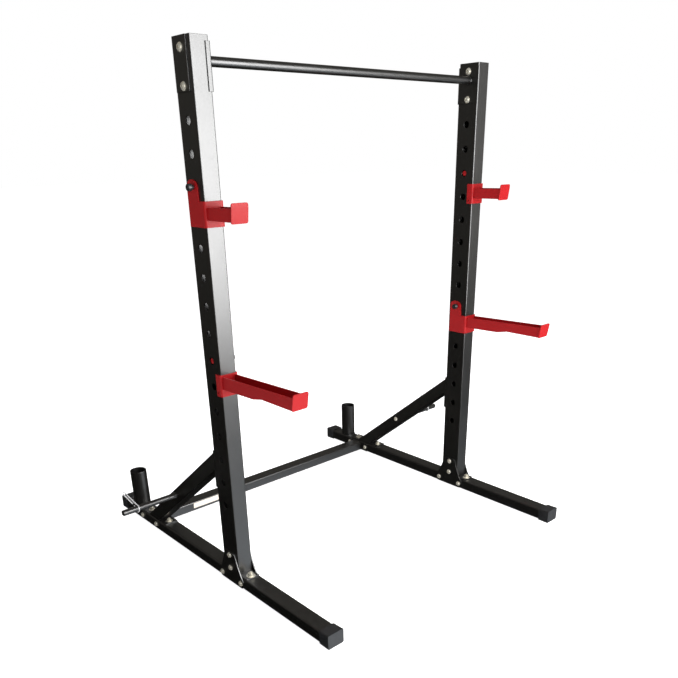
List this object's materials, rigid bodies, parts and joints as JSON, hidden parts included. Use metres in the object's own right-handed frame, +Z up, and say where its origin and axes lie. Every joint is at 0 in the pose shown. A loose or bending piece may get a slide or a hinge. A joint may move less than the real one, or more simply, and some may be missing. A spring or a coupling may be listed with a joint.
{
  "type": "squat stand",
  "caption": "Two-post squat stand with a pull-up bar, hanging bar cups and spotter arms, braced floor tubes, plate pegs and upright bar holders.",
  "frame": {"origin": "on the floor, at the centre of the whole stand's footprint", "axes": "+Z up, +X along the pull-up bar to the right of a lifter facing the stand from -Y, +Y from the arms back towards the braces"},
  "size_m": [1.7366, 1.413, 1.729],
  "materials": {
    "black_coat": "semi-gloss black powder coat",
    "red_coat": "semi-gloss red powder coat",
    "black_moulding": "fine-textured black moulding",
    "zinc": "bright zinc plate",
    "label": "blank cream label film",
    "chrome": "polished spring wire"
  },
  "bodies": {
    "stand": {"upright_left": "black_coat", "upright_cap_left": "black_moulding", "upright_right": "black_coat", "upright_cap_right": "black_moulding", "pull_up_bar": "black_coat", "bar_plate_left": "black_coat", "backing_plate_left": "black_coat", "end_bolt_lower_left": "zinc", "end_bolt_upper_left": "zinc", "base_tube_left": "black_coat", "foot_cap_front_left": "black_moulding", "foot_cap_rear_left": "black_moulding", "upright_foot_left": "black_coat", "gusset_outer_left": "black_coat", "gusset_inner_left": "black_coat", "gusset_bolt_post_upper_left": "zinc", "gusset_bolt_post_lower_left": "zinc", "gusset_bolt_front_left": "zinc", "gusset_bolt_rear_left": "zinc", "bar_plate_right": "black_coat", "backing_plate_right": "black_coat", "end_bolt_lower_right": "zinc", "end_bolt_upper_right": "zinc", "base_tube_right": "black_coat", "foot_cap_front_right": "black_moulding", "foot_cap_rear_right": "black_moulding", "upright_foot_right": "black_coat", "gusset_outer_right": "black_coat", "gusset_inner_right": "black_coat", "gusset_bolt_post_upper_right": "zinc", "gusset_bolt_post_lower_right": "zinc", "gusset_bolt_front_right": "zinc", "gusset_bolt_rear_right": "zinc", "crossmember": "black_coat", "label": "label", "crossmember_flange_left": "black_coat", "brace_left": "black_coat", "brace_foot_left": "black_coat", "bar_holder_left": "black_coat", "plate_peg_left": "black_coat", "crossmember_flange_right": "black_coat", "brace_right": "black_coat", "brace_foot_right": "black_coat", "bar_holder_right": "black_coat", "plate_peg_right": "black_coat"},
    "bar_cup_left": {"bar_cup_bracket_left": "red_coat", "bar_cup_arm_left": "red_coat", "bar_cup_knob_left": "black_moulding"},
    "spotter_left": {"spotter_bracket_left": "red_coat", "spotter_arm_left": "red_coat", "spotter_knob_left": "black_moulding"},
    "bar_cup_right": {"bar_cup_bracket_right": "red_coat", "bar_cup_arm_right": "red_coat", "bar_cup_knob_right": "black_moulding"},
    "spotter_right": {"spotter_bracket_right": "red_coat", "spotter_arm_right": "red_coat", "spotter_knob_right": "black_moulding"},
    "clip_left": {"peg_clip_left": "chrome"},
    "clip_right": {"peg_clip_right": "chrome"}
  },
  "joints": [
    {"name": "bar_cup_swing_left", "type": "hinge", "parent": "stand", "child": "bar_cup_left", "pos_m": [-0.611, -0.1665, 1.352], "axis": [-1, 0, 0], "range_deg": [0, 75]},
    {"name": "spotter_swing_left", "type": "hinge", "parent": "stand", "child": "spotter_left", "pos_m": [-0.611, -0.1665, 0.836], "axis": [-1, 0, 0], "range_deg": [0, 60]},
    {"name": "bar_cup_swing_right", "type": "hinge", "parent": "stand", "child": "bar_cup_right", "pos_m": [0.611, -0.1665, 1.352], "axis": [-1, 0, 0], "range_deg": [0, 75]},
    {"name": "spotter_swing_right", "type": "hinge", "parent": "stand", "child": "spotter_right", "pos_m": [0.611, -0.1665, 0.836], "axis": [-1, 0, 0], "range_deg": [0, 60]},
    {"name": "clip_slide_left", "type": "slide", "parent": "stand", "child": "clip_left", "axis": [-1, 0, 0], "range_m": [0, 0.04]},
    {"name": "clip_slide_right", "type": "slide", "parent": "stand", "child": "clip_right", "axis": [1, 0, 0], "range_m": [0, 0.04]}
  ]
}
